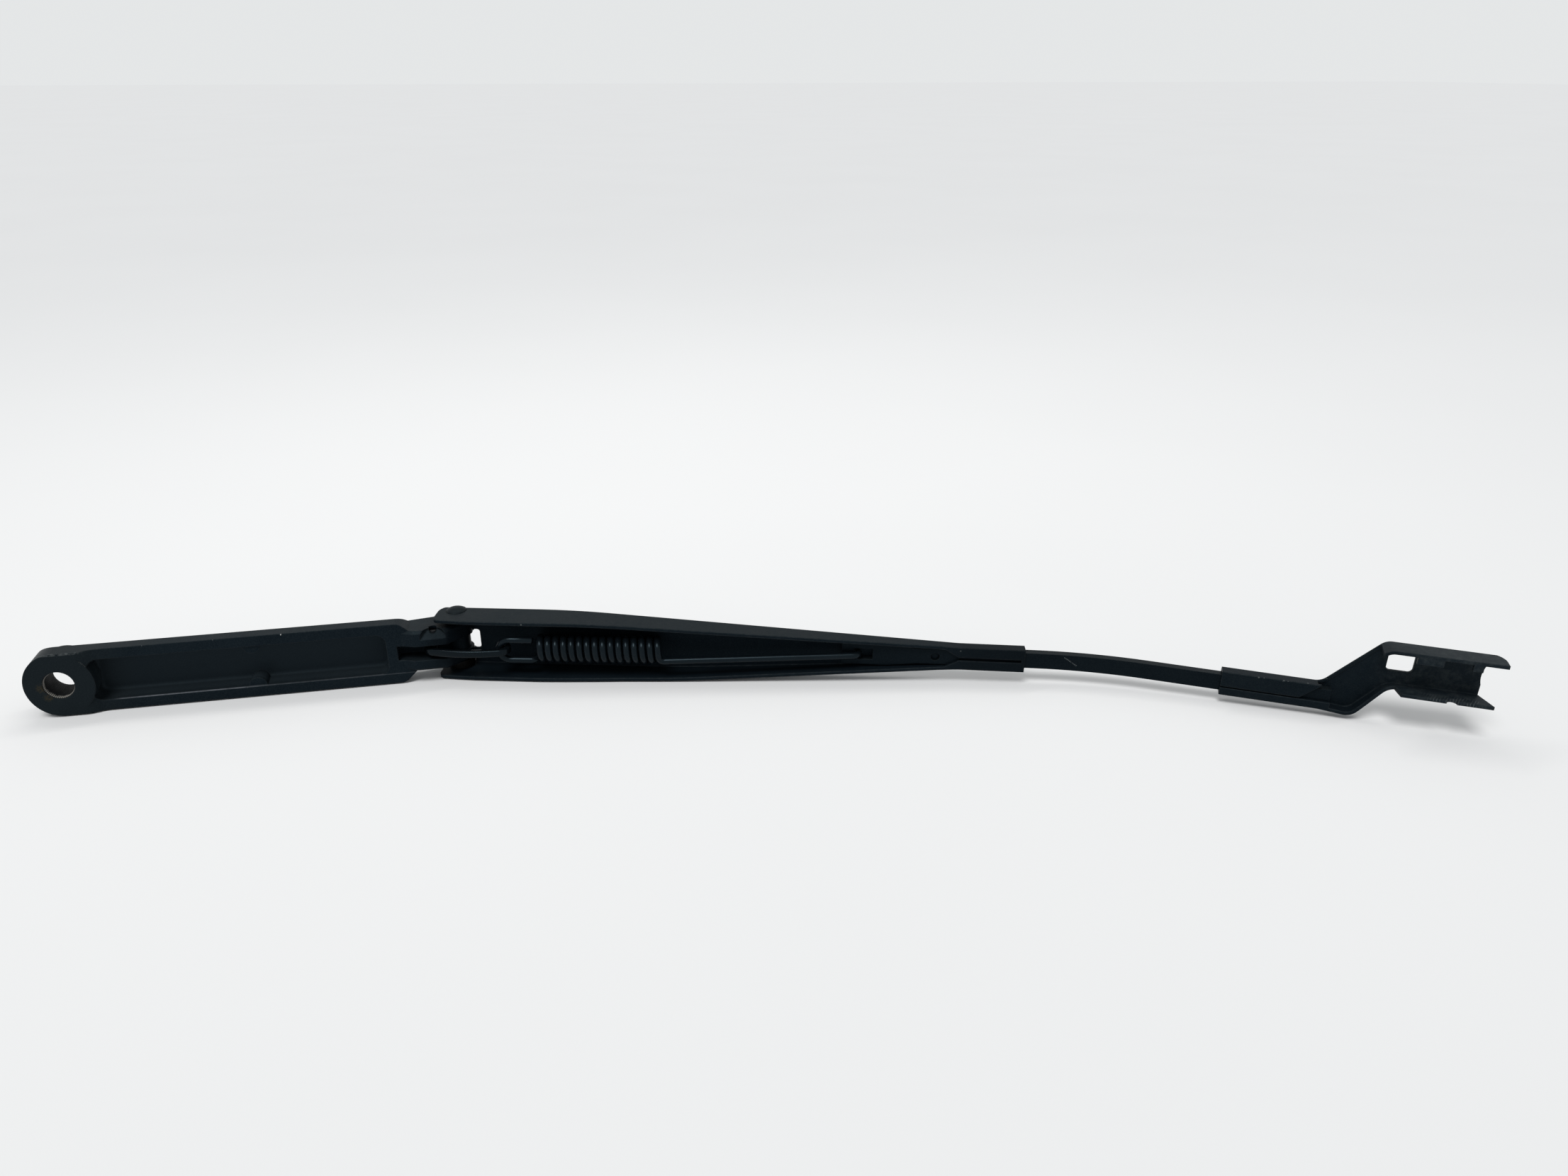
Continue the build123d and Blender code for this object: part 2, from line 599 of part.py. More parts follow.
def end_openings(bottom, top):
    """The sleeve's mouth, the trough's hollowed web end and the round end of its upper wall."""
    low = -ROD_WIDTH / 2
    high = ROD_WIDTH / 2 + SLEEVE_GAP
    mouth = SLEEVE_START + 2 * SHEET
    far = 2 * TROUGH_UPPER_END
    inside_low = trough_low + SHEET
    inside_high = trough_high - SHEET
    web_end = TROUGH_WEB_END + 2 * SHEET
    cut = slab([(0, low), (mouth, low), (mouth, high), (0, high)], bottom + SHEET, far)
    end = [(web_end, inside_low), (far, inside_low), (far, inside_high), (web_end, inside_high)]
    cut += slab(end, 2 * bottom, far)
    scoop = Cylinder(SCOOP_RADIUS, 4 * TROUGH_WALL)
    scoop &= Pos(SCOOP_RADIUS, 0, 0) * Box(4 * SCOOP_RADIUS, TROUGH_WIDTH - 2 * SHEET, 8 * TROUGH_WALL)
    cut += Pos(TROUGH_WEB_END + SCOOP_RADIUS, TROUGH_OFFSET, 0) * scoop
    radius = TROUGH_END_RADIUS
    corner = Box(radius, 4 * SHEET, radius, align=(Align.MIN, Align.CENTER, Align.MAX))
    corner -= Cylinder(radius, 4 * SHEET, rotation=(90, 0, 0))
    return cut + Pos(TROUGH_UPPER_END - radius, trough_high, bottom + radius) * corner


def latch_cuts(bottom, top):
    """The latch window in the web and the half-round notch in the lower wall's edge."""
    notch = Cylinder(NOTCH_RADIUS, 4 * SHEET, rotation=(90, 0, 0))
    window = extrude(RectangleRounded(WINDOW_LENGTH, WINDOW_WIDTH, WINDOW_CORNER), -2 * bottom)
    place = Pos(WINDOW_X, TROUGH_OFFSET + WINDOW_OFFSET, 2 * bottom)
    return Pos(NOTCH_X, trough_low, top) * notch + place * window


def edge_lip(x, length, top):
    """Short lip turned inward from the upper wall's edge."""
    inside = trough_high - SHEET
    points = [
        (x - length / 2, inside), (x + length / 2, inside),
        (x + length / 2, inside - LIP_DEPTH), (x - length / 2, inside - LIP_DEPTH),
    ]
    return slab(points, top - SHEET, top)


def blade_connector():
    """Folded end piece: a sleeve crimped on the bar, a side jog, then the trough for the blade."""
    bottom = -ROD_THICKNESS / 2 - SHEET
    top = bottom + TROUGH_WALL
    shell = folded_sheet(connector_plan(), bottom, TROUGH_WALL)
    shell -= lower_edge(bottom, top)
    shell -= upper_edge(bottom)
    shell -= end_openings(bottom, top)
    shell -= latch_cuts(bottom, top)
    shell += sleeve_flaps()
    shell += edge_lip(LONG_LIP_X, LONG_LIP_LENGTH, top)
    shell += edge_lip(SHORT_LIP_X, SHORT_LIP_LENGTH, top)
    return ARM * TIP * shell


NODES = {
    "mounting_head": mounting_head,
    "hook_pin": hook_pin,
    "upper_hinge_bush": lambda: hinge_bush(fork_high),
    "lower_hinge_bush": lambda: hinge_bush(fork_low),
    "hinge_rivet": hinge_rivet,
    "arm_channel": arm_channel,
    "wiper_rod": wiper_rod,
    "spring_link": spring_link,
    "tension_spring": tension_spring,
    "blade_connector": blade_connector,
}

os.makedirs("parts", exist_ok=True)
for name, make in NODES.items():
    export_step(lay(make()), f"parts/{name}.step")
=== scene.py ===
import math

import bmesh
import bpy
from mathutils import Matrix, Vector


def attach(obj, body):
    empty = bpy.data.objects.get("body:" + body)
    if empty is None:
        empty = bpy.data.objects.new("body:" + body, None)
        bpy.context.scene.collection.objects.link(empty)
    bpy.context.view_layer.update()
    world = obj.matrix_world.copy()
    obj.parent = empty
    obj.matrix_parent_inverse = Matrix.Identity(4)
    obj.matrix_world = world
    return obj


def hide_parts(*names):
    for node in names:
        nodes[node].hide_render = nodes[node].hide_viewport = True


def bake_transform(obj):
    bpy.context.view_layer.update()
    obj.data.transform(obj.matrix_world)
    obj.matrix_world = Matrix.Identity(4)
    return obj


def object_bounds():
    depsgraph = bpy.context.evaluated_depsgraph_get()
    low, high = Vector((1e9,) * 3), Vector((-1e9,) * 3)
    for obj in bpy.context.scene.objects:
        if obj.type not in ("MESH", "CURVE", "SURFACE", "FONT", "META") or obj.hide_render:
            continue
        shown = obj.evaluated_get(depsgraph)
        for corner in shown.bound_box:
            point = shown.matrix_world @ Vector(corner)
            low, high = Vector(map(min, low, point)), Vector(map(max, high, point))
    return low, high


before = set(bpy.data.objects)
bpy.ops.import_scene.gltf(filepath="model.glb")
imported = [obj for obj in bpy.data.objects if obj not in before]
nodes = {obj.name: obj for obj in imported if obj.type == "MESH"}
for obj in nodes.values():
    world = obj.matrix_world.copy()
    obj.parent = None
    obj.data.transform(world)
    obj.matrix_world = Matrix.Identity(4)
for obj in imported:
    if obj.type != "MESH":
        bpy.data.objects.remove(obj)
cad_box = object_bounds()

# The spring's wire; all sizes and places are in metres, in the part's frame
WIRE_RADIUS = 0.0016
WIRE_SIDES = 16
COIL_RADIUS = 0.005
COIL_PITCH = 0.00353
COIL_TURNS = 15.8
COIL_STEPS = 40
LOOP_LEG = 0.0090
LOOP_FREE_LEG = 0.0104
WIRE_BEND = 0.0025
BEND_STEPS = 8
HOOK_TIP = 0.0012
SPRING_LOOP = Vector((0.183035, -0.002164, -0.000334))
SPRING_SEAT = Vector((0.341423, -0.036621, -0.002199))
END_EASE = 0.0005
END_SHRINK = 0.7

# The hook between the pin and the spring's loop
LINK_PIN = Vector((0.1547, 0.004, 0.0))
LINK_LENGTH = 0.029
LINK_PIN_BEND = 0.0032
LINK_WIRE_BEND = 0.0038
LINK_LOW = 0.005
LINK_HALF_WIDTH = 0.0014
LINK_HALF_DEPTH = 0.0017
LINK_CORNER_POWER = 0.6
LINK_SIDES = 20
LINK_STEPS = 20

# The lip at the channel's web and the rim of its window, measured from the hinge
HINGE_PLACE = Vector((0.165, 0.012, 0.0))
ARM_DROOP = 14.5
LIP_RADIUS = 0.00624
LIP_INNER_DEPTH = 0.0026
LIP_OUTER_DEPTH = 0.0042
LIP_ROOT = 0.0059
LIP_STEPS = 10
LIP_SPANS = ((-0.0131, -0.0059), (0.0033, 0.0131))
RIM_LEFT, RIM_RIGHT = 0.00562, 0.0095
RIM_LOW, RIM_HIGH = -0.0063, 0.0043
RIM_DEPTHS = (0.00275, 0.0033)
WINDOW_LEFT, WINDOW_RIGHT = 0.00545, 0.00885
WINDOW_LOW, WINDOW_HIGH = -0.0054, 0.00385
WINDOW_ROUND = 0.0013

# The bore's serrations
BORE_RADIUS = 0.00634
TOOTH_TIP_RADIUS = 0.0059
TOOTH_COUNT = 52
TOOTH_FROM = 0.0003
TOOTH_TO = 0.0128
TOOTH_LEAD_IN = 0.0007
TOOTH_LEAD_OUT = 0.0005
TOOTH_PROFILE = (0.1, 0.85, 1.0, 0.85)

# Floor, light and camera
FLOOR_DARKER = (0.865, 0.865, 0.865, 1)
FLOOR_LIGHTER = (0.875, 0.875, 0.875, 1)
FLOOR_HALF_SIZE = 14.0
FLOOR_X, FLOOR_Y = 0.25, 4.0
SKY_LIGHT = (0.95, 0.98, 1.0, 1)
SKY_STRENGTH = 0.42
BACKDROP = (0.78, 0.795, 0.80, 1)
SOFTBOX_PLACE = (0.2, 0.32, 0.82)
SOFTBOX_AIM = (0.28, -0.02, 0.0)
SOFTBOX_SIZE = (0.9, 0.10)
SOFTBOX_POWER = 1.6
SOFTBOX_COLOUR = (1.0, 0.99, 0.96)
KEY_WAY = (0.3, 0.45, -1.0)
KEY_STRENGTH = 1.7
KEY_ANGLE = 26.0
CAMERA_PLACE = (0.2144, -0.4925, 0.2413)
CAMERA_TURN = (66.0, 0.0, -11.5)
CAMERA_LENS = 27.02
CAMERA_SENSOR = 36.0
CAMERA_NEAR = 0.01

# Colours of paint, dirt and metal, and of painted light and shade
PAINT_DEEP = (0.0027, 0.0050, 0.0076)
PAINT_FADED = (0.0045, 0.0077, 0.0108)
PAINT_GRAIN = (0.0115, 0.0165, 0.0195)
PAINT_SHINE = (0.62, 0.86, 1.0, 1)
# Dust on upward faces, also a painted top light that makes the tops lighter
DUST_AND_TOP_LIGHT = (0.024, 0.029, 0.029, 1)
# Abraded edges, also a painted highlight along the edges
RUBBED_AND_EDGE_HIGHLIGHT = (0.070, 0.080, 0.084, 1)
SCRATCHED = (0.045, 0.055, 0.057, 1)
BARE = (0.085, 0.095, 0.095, 1)
BRIGHT = (0.55, 0.56, 0.55, 1)
RUST = (0.075, 0.052, 0.016, 1)
# Painted shade near the hinge
HINGE_PAINTED_SHADE = (0.0012, 0.0018, 0.0026, 1)
# A painted highlight along the pocket's lower edge
POCKET_EDGE_HIGHLIGHT = (0.12, 0.13, 0.145, 1)
# The boss rim: abraded, and painted lighter as edge highlights and glints
WORN_RIM_AND_GLINT = (0.085, 0.095, 0.098, 1)
# Painted light in the pocket
POCKET_PAINTED_LIGHT = (0.0200, 0.0280, 0.0340, 1)
# A lighter tone on the boss end
BOSS_END_TONE = (0.0150, 0.0180, 0.0178, 1)
CRIMP_DARKER_TONE = (0.0020, 0.0028, 0.0036, 1)
# Painted light in the trough
TROUGH_PAINTED_LIGHT = (0.0200, 0.0270, 0.0330, 1)
SCUFFED = (0.034, 0.041, 0.043, 1)
RUB_LINE = (0.058, 0.066, 0.069, 1)
PIN_STEEL = (0.009, 0.010, 0.012, 1)
PIN_DIRT = (0.004, 0.005, 0.006, 1)
BUSH_BRONZE = (0.010, 0.0095, 0.0085, 1)
BUSH_DIRT = (0.004, 0.0045, 0.005, 1)
TOOTH_TIP = (0.50, 0.48, 0.44, 1)
# Grease and painted shade in the bore
TOOTH_GREASE_AND_SHADE = (0.0075, 0.0085, 0.0092, 1)

# Where marks fade in or out: a pair is the start and end of the fade
TOP_LIGHT_AND_DUST_FADE = 0.006
POCKET_HALF_WIDTH = 0.0098
POCKET_SIDE = (POCKET_HALF_WIDTH - 0.0004, POCKET_HALF_WIDTH)
POCKET_MOUTH = (0.0030, 0.0050)
POCKET_FLOOR = (0.0108, 0.0113)
POCKET_START = (0.011, 0.013)
POCKET_END = (0.130, 0.140)
EDGE_LINE = (0.0001, 0.0003)
EDGE_LINE_DEPTH = (0.0024, 0.0029)
EDGE_LINE_START = (0.018, 0.024)
EDGE_LINE_FADE = (0.070, 0.080)
BOSS_TOP = (0.0137, 0.0141)
BOSS_FACE = (0.0004, 0.0010)
BOSS_RIM_END = (0.010, 0.016)
BOSS_END = (0.012, 0.030)
HINGE_SHADE_START = (0.148, 0.162)
HINGE_SHADE_RAGGED = 0.004
CRIMP_START = (0.372, 0.390)
TROUGH_START = (0.545, 0.556)
TROUGH_OUT = (-0.46, -0.888, 0.0)
RUB_HEIGHT = (0.0025, 0.0045)
RUB_OUT = (-0.1475, -0.1458)
RUB_START = (0.5585, 0.5615)
RUB_END = (0.577, 0.580)
RUB_TURN = (0.0, 0.0, 0.9)
TOOTH_GROOVE = (0.00598, 0.00622)
TOOTH_CLEAN_DEPTH = (0.0010, 0.0022)
TOOTH_RAGGED = 0.0006

# Single spots, each a point and a radius
RUST_SPOTS = (((-0.0069, 0.0, -0.0008), 0.0022), ((-0.0050, 0.0, -0.0052), 0.0020))
BRIGHT_CHIP = ((0.0913, 0.0020, 0.0143), 0.00035)
GLINT_RADIUS = 0.0142
GLINT_DEPTH = 0.0004
GLINT_SIZE = 0.0004
GLINT_ANGLES = [math.radians(a) for a in (33, 36, 39, 42, 45)]
BOSS_GLINT = tuple(
    ((GLINT_RADIUS * math.cos(a), GLINT_DEPTH, GLINT_RADIUS * math.sin(a)), GLINT_SIZE)
    for a in GLINT_ANGLES
)
HEAD_CHIPS = (
    ((0.0635, 0.0020, 0.0145), 0.00025),
    ((0.0352, 0.0020, 0.0145), 0.00025),
    ((0.0735, 0.0020, -0.0100), 0.00025),
)
CHANNEL_CHIPS = (
    ((0.1938, -0.0078, 0.0138), 0.0004),
    ((0.2638, -0.0217, 0.0118), 0.0004),
    ((0.3678, -0.0427, 0.0040), 0.0003),
    ((0.3857, -0.0475, 0.0010), 0.0004),
)
CONNECTOR_CHIPS = (
    ((0.5041, -0.0948, 0.0000), 0.0005),
    ((0.5060, -0.0958, 0.0000), 0.0003),
    ((0.5130, -0.0994, -0.0002), 0.0005),
    ((0.5146, -0.1002, -0.0002), 0.0003),
    ((0.5219, -0.1034, -0.0004), 0.0004),
    ((0.5307, -0.1035, 0.0012), 0.0003),
)
SCRATCH_FROM = Vector((0.4311, -0.0582, -0.0017))
SCRATCH_TO = Vector((0.4361, -0.0599, -0.0052))
SCRATCH_SIZE = 0.00032
ROD_CHIPS = tuple((tuple(SCRATCH_FROM.lerp(SCRATCH_TO, k / 9)), SCRATCH_SIZE) for k in range(10))


# Shader building
class Shader:
    """A material's node tree, with short calls for the nodes used here."""

    def __init__(self, name):
        self.material = bpy.data.materials.new(name)
        self.material.use_nodes = True
        self.tree = self.material.node_tree
        self.principled = self.tree.nodes["Principled BSDF"]
        self.place = self.node("ShaderNodeTexCoord").outputs["Object"]

    def node(self, kind, **settings):
        made = self.tree.nodes.new(kind)
        for key, value in settings.items():
            setattr(made, key, value)
        return made

    def feed(self, socket, value):
        if isinstance(value, bpy.types.NodeSocket):
            self.tree.links.new(value, socket)
        else:
            socket.default_value = value

    def axes(self):
        made = self.node("ShaderNodeSeparateXYZ")
        self.feed(made.inputs[0], self.place)
        return made.outputs

    def math(self, operation, a, b=0.0, clamp=False):
        made = self.node("ShaderNodeMath", operation=operation, use_clamp=clamp)
        self.feed(made.inputs[0], a)
        self.feed(made.inputs[1], b)
        return made.outputs[0]

    def product(self, first, *others):
        for other in others:
            first = self.math("MULTIPLY", first, other)
        return first

    def vector_math(self, operation, a, b):
        made = self.node("ShaderNodeVectorMath", operation=operation)
        self.feed(made.inputs[0], a)
        self.feed(made.inputs[1], b)
        return made.outputs["Value" if operation in ("DOT_PRODUCT", "DISTANCE") else "Vector"]

    def noise(self, scale, detail=3.0, roughness=0.55, place=None):
        made = self.node("ShaderNodeTexNoise")
        self.feed(made.inputs["Vector"], place or self.place)
        made.inputs["Scale"].default_value = scale
        made.inputs["Detail"].default_value = detail
        made.inputs["Roughness"].default_value = roughness
        return made.outputs["Fac"]

    def stretched(self, scale, turn=(0.0, 0.0, 0.0)):
        made = self.node("ShaderNodeMapping")
        self.feed(made.inputs["Vector"], self.place)
        made.inputs["Scale"].default_value = scale
        made.inputs["Rotation"].default_value = turn
        return made.outputs["Vector"]

    def span(self, value, low, high, to_low=0.0, to_high=1.0, smooth=False):
        made = self.node("ShaderNodeMapRange", clamp=True)
        made.interpolation_type = "SMOOTHSTEP" if smooth else "LINEAR"
        self.feed(made.inputs["Value"], value)
        for name, number in zip(("From Min", "From Max", "To Min", "To Max"), (low, high, to_low, to_high)):
            made.inputs[name].default_value = number
        return made.outputs["Result"]

    def rising(self, value, fade, top=1.0):
        return self.span(value, *fade, 0.0, top)

    def falling(self, value, fade, top=1.0):
        return self.span(value, *fade, top, 0.0)

    def mix(self, factor, a, b):
        made = self.node("ShaderNodeMix", data_type="RGBA")
        self.feed(made.inputs["Factor"], factor)
        self.feed(made.inputs["A"], a)
        self.feed(made.inputs["B"], b)
        return made.outputs["Result"]

    def rounded(self, radius):
        """The normal with rounded edges, and a mask that is one along sharp edges."""
        bevel = self.node("ShaderNodeBevel", samples=4)
        bevel.inputs["Radius"].default_value = radius
        flat = self.node("ShaderNodeNewGeometry").outputs["Normal"]
        along = self.vector_math("DOT_PRODUCT", bevel.outputs["Normal"], flat)
        return bevel.outputs["Normal"], self.math("SUBTRACT", 1.0, along, clamp=True)

    def facing_up(self):
        normal = self.node("ShaderNodeNewGeometry").outputs["Normal"]
        return self.vector_math("DOT_PRODUCT", normal, (0.0, 0.0, 1.0))

    def spots(self, places):
        """Ragged spots round given places, each a point and a radius."""
        ragged = self.noise(3200.0, 3.0, 0.65)
        best = 0.0
        for point, radius in places:
            away = self.vector_math("DISTANCE", self.place, point)
            away = self.math("ADD", away, self.span(ragged, 0.3, 0.7, -0.7 * radius, 0.7 * radius))
            spot = self.falling(away, (0.55 * radius, 0.9 * radius))
            best = self.math("MAXIMUM", best, spot)
        return best

    def bump(self, height, strength, distance, normal=None):
        made = self.node("ShaderNodeBump")
        made.inputs["Strength"].default_value = strength
        made.inputs["Distance"].default_value = distance
        self.feed(made.inputs["Height"], height)
        if normal:
            self.feed(made.inputs["Normal"], normal)
        return made.outputs["Normal"]

    def finish(self, colour, roughness, normal, specular, metallic=None, tint=(1.0, 1.0, 1.0, 1)):
        inputs = self.principled.inputs
        self.feed(inputs["Base Color"], colour)
        self.feed(inputs["Roughness"], roughness)
        self.feed(inputs["Normal"], normal)
        inputs["Specular IOR Level"].default_value = specular
        inputs["Specular Tint"].default_value = tint
        if metallic is not None:
            self.feed(inputs["Metallic"], metallic)
        return self.material


def shaded(colour, tone):
    return tuple(tone * channel for channel in colour) + (1.0,)


def black_paint(name, grain=2200.0, grain_depth=0.00004, grain_strength=0.35, rough=(0.36, 0.52), tone=1.0,
                top_light_and_dust=0.7, dust_and_light_above=None, wear_and_highlight=0.45, specular=0.12, rounding=0.0006, chips=(), marks=None):
    """Satin black paint over metal: grain, dusty upper faces with a painted top light, abraded edges with
    painted edge highlights, dull chips.
    """
    s = Shader(name)
    broad = s.noise(45.0, 4.0)
    fine = s.noise(grain, 3.0, 0.6)
    black = s.mix(s.span(broad, 0.3, 0.7), shaded(PAINT_DEEP, tone), shaded(PAINT_FADED, tone))
    black = s.mix(s.span(fine, 0.42, 0.72, 0.0, 0.6), black, shaded(PAINT_GRAIN, tone))
    # Upward faces get dust and a painted top light: lighter the more they face up
    up = s.span(s.facing_up(), 0.15, 0.95, smooth=True)
    top_light_and_dust_mask = s.product(up, s.span(s.noise(520.0, 6.0, 0.7), 0.3, 0.7, 0.3, 1.0))
    if dust_and_light_above is not None:
        height = s.vector_math("DOT_PRODUCT", s.place, (0.0, 0.0, 1.0))
        top_light_and_dust_mask = s.product(top_light_and_dust_mask, s.rising(height, (dust_and_light_above, dust_and_light_above + TOP_LIGHT_AND_DUST_FADE)))
    colour = s.mix(s.product(top_light_and_dust_mask, top_light_and_dust), black, DUST_AND_TOP_LIGHT)
    round_normal, edge = s.rounded(rounding)
    edge = s.span(edge, 0.12, 0.26)
    # Edges: abraded, and also painted lighter as edge highlights
    rub_and_highlight = s.product(edge, s.span(s.noise(420.0, 4.0, 0.6), 0.36, 0.68, 0.3, 1.0))
    colour = s.mix(s.product(rub_and_highlight, wear_and_highlight), colour, RUBBED_AND_EDGE_HIGHLIGHT)
    nick = s.product(edge, s.span(s.noise(900.0, 3.0, 0.6), 0.69, 0.73))
    streaks = s.noise(1.0, 2.0, 0.5, s.stretched((90.0, 2600.0, 2600.0), (0.0, 0.3, 0.25)))
    scratch = s.product(s.span(streaks, 0.70, 0.74), s.span(broad, 0.5, 0.62), 0.2)
    colour = s.mix(scratch, colour, SCRATCHED)
    bare = s.math("MAXIMUM", nick, s.spots(chips)) if chips else nick
    colour = s.mix(bare, colour, BARE)
    if marks:
        colour = marks(s, colour)
    roughness = s.span(s.math("ADD", broad, s.product(rub_and_highlight, 0.3)), 0.3, 0.8, *rough)
    height = s.math("SUBTRACT", fine, bare)
    normal = s.bump(height, grain_strength, grain_depth, round_normal)
    return s.finish(colour, roughness, normal, specular, tint=PAINT_SHINE)


def on_head(s, colour):
    """Rust by the bore, a painted highlight along the pocket edge, an abraded boss rim with painted
    highlights and glints, painted light in the pocket, a lighter boss end, painted shade by the hinge, one
    chip.
    """
    x, y, z = s.axes()
    rust = s.product(s.spots(RUST_SPOTS), s.span(s.noise(900.0, 4.0, 0.7), 0.38, 0.66), 0.8)
    colour = s.mix(rust, colour, RUST)
    # Painted highlight along the rounded lower edge of the pocket, full along its first stretch, dimmer
    # further on
    off_edge = s.math("ABSOLUTE", s.math("ADD", z, POCKET_HALF_WIDTH))
    line = s.product(s.falling(off_edge, EDGE_LINE), s.falling(y, EDGE_LINE_DEPTH))
    edge_highlight_fade = s.product(s.rising(x, EDGE_LINE_START), s.span(x, *EDGE_LINE_FADE, 1.0, 0.35))
    edge_highlight_fade = s.product(edge_highlight_fade, s.span(s.noise(300.0, 3.0), 0.3, 0.6, 0.5, 1.0))
    colour = s.mix(s.product(line, edge_highlight_fade), colour, POCKET_EDGE_HIGHLIGHT)
    # The boss's top rim edge: abraded and painted lighter as an edge highlight, with painted glints on the
    # boss's edge arc
    rim = s.product(s.rising(z, BOSS_TOP), s.falling(y, BOSS_FACE), s.falling(x, BOSS_RIM_END))
    rim = s.product(rim, s.span(s.noise(650.0, 4.0, 0.65), 0.42, 0.56))
    rim = s.math("MAXIMUM", rim, s.spots(BOSS_GLINT))
    colour = s.mix(rim, colour, WORN_RIM_AND_GLINT)
    # Painted light: the pocket's recessed faces are made lighter deeper in, not at its mouth
    inside = s.falling(s.math("ABSOLUTE", z), POCKET_SIDE)
    inside = s.product(inside, s.rising(y, POCKET_MOUTH, 0.5), s.falling(y, POCKET_FLOOR))
    inside = s.product(inside, s.rising(x, POCKET_START), s.falling(x, POCKET_END))
    colour = s.mix(inside, colour, POCKET_PAINTED_LIGHT)
    # The boss end is made lighter, fading out along the head
    colour = s.mix(s.falling(x, BOSS_END, 0.32), colour, BOSS_END_TONE)
    # Painted shade: the head darkens towards the hinge, where the channel's upper wall shades it
    ragged = s.span(s.noise(120.0, 3.0), 0.3, 0.7, -HINGE_SHADE_RAGGED, HINGE_SHADE_RAGGED)
    hinge_shade = s.rising(s.math("ADD", x, ragged), HINGE_SHADE_START, 0.75)
    colour = s.mix(hinge_shade, colour, HINGE_PAINTED_SHADE)
    return s.mix(s.spots((BRIGHT_CHIP,)), colour, BRIGHT)


def on_channel(s, colour):
    """Darker paint on the crimped end."""
    x = s.vector_math("DOT_PRODUCT", s.place, (1.0, 0.0, 0.0))
    return s.mix(s.rising(x, CRIMP_START, 0.5), colour, CRIMP_DARKER_TONE)


def on_connector(s, colour):
    """Painted light over the trough, pale scuffs in it, and slanting rubbing lines near the free edge of
    its lower wall.
    """
    x, _, z = s.axes()
    # Painted light: the trough's recessed web is made lighter
    colour = s.mix(s.rising(x, TROUGH_START, 0.28), colour, TROUGH_PAINTED_LIGHT)
    blotch = s.span(s.noise(330.0, 7.0, 0.72), 0.44, 0.74)
    blotch = s.product(blotch, s.span(x, *TROUGH_START, 0.1, 1.0), 0.75)
    colour = s.mix(blotch, colour, SCUFFED)
    bands = s.node("ShaderNodeTexWave", bands_direction="X")
    s.feed(bands.inputs["Vector"], s.stretched((1.0, 1.0, 1.0), RUB_TURN))
    bands.inputs["Scale"].default_value = 300.0
    bands.inputs["Distortion"].default_value = 1.5
    bands.inputs["Detail"].default_value = 2.0
    out = s.vector_math("DOT_PRODUCT", s.place, TROUGH_OUT)
    here = s.product(s.falling(z, RUB_HEIGHT), s.rising(out, RUB_OUT))
    here = s.product(here, s.rising(x, RUB_START), s.falling(x, RUB_END))
    lines = s.span(bands.outputs["Fac"], 0.78, 0.95)
    lines = s.product(lines, s.span(s.noise(300.0, 3.0), 0.38, 0.56))
    return s.mix(s.product(lines, here), colour, RUB_LINE)


def bare_metal(name, colour, dirt, rough=(0.22, 0.42), grain=2400.0):
    """Bare metal with dulled patches and drawing marks."""
    s = Shader(name)
    patches = s.noise(380.0, 5.0, 0.65)
    fine = s.noise(grain, 3.0)
    shade = s.mix(s.span(patches, 0.42, 0.7), colour, dirt)
    roughness = s.span(patches, 0.3, 0.75, *rough)
    normal = s.bump(fine, 0.25, 0.00004)
    return s.finish(shade, roughness, normal, 0.5, s.span(patches, 0.55, 0.8, 1.0, 0.75))


def tooth_material():
    """Serrations: bare bright tips at the open end; dark grease and painted shade in the grooves and
    further in, with reflections dimmed there.
    """
    s = Shader("tooth_metal")
    level = s.vector_math("MULTIPLY", s.place, (1.0, 0.0, 1.0))
    groove = s.rising(s.vector_math("DISTANCE", level, (0.0, 0.0, 0.0)), TOOTH_GROOVE)
    patches = s.noise(500.0, 4.0, 0.6)
    depth = s.vector_math("DOT_PRODUCT", s.place, (0.0, 1.0, 0.0))
    inward = s.math("ADD", depth, s.span(patches, 0.3, 0.7, -TOOTH_RAGGED, TOOTH_RAGGED))
    # Grease and painted shade: darker in the grooves and deeper in the bore, where the reflections are
    # dimmed too
    dark = s.math("MAXIMUM", groove, s.rising(inward, TOOTH_CLEAN_DEPTH))
    shine = s.math("SUBTRACT", 1.0, dark)
    colour = s.mix(dark, TOOTH_TIP, TOOTH_GREASE_AND_SHADE)
    roughness = s.span(patches, 0.3, 0.7, 0.36, 0.52)
    return s.finish(colour, roughness, s.bump(s.noise(3000.0), 0.2, 0.00003), 0.04, shine)


def floor_material():
    s = Shader("pale_floor")
    shade = s.mix(s.span(s.noise(3.0, 2.0), 0.3, 0.7), FLOOR_DARKER, FLOOR_LIGHTER)
    return s.finish(shade, 0.9, s.bump(s.noise(700.0, 2.0), 0.02, 0.00005), 0.0)


# The finish of each piece
cast_paint = black_paint(
    "cast_head_paint", grain=1900.0, grain_depth=0.00007, grain_strength=0.7, tone=1.25, top_light_and_dust=0.3,
    specular=0.045, rounding=0.0008, chips=HEAD_CHIPS, marks=on_head,
)
sheet_paint = black_paint(
    "folded_sheet_paint", tone=1.1, top_light_and_dust=0.38, dust_and_light_above=0.001, wear_and_highlight=0.6,
    specular=0.04, rounding=0.0011, chips=CHANNEL_CHIPS, marks=on_channel,
)
connector_paint = black_paint(
    "connector_paint", tone=0.95, top_light_and_dust=0.45, dust_and_light_above=0.008, wear_and_highlight=0.5,
    specular=0.05, rounding=0.0010, chips=CONNECTOR_CHIPS, marks=on_connector,
)
rivet_paint = black_paint(
    "rivet_paint", grain_strength=0.3, rough=(0.36, 0.5), tone=0.7, top_light_and_dust=0.4, specular=0.05,
)
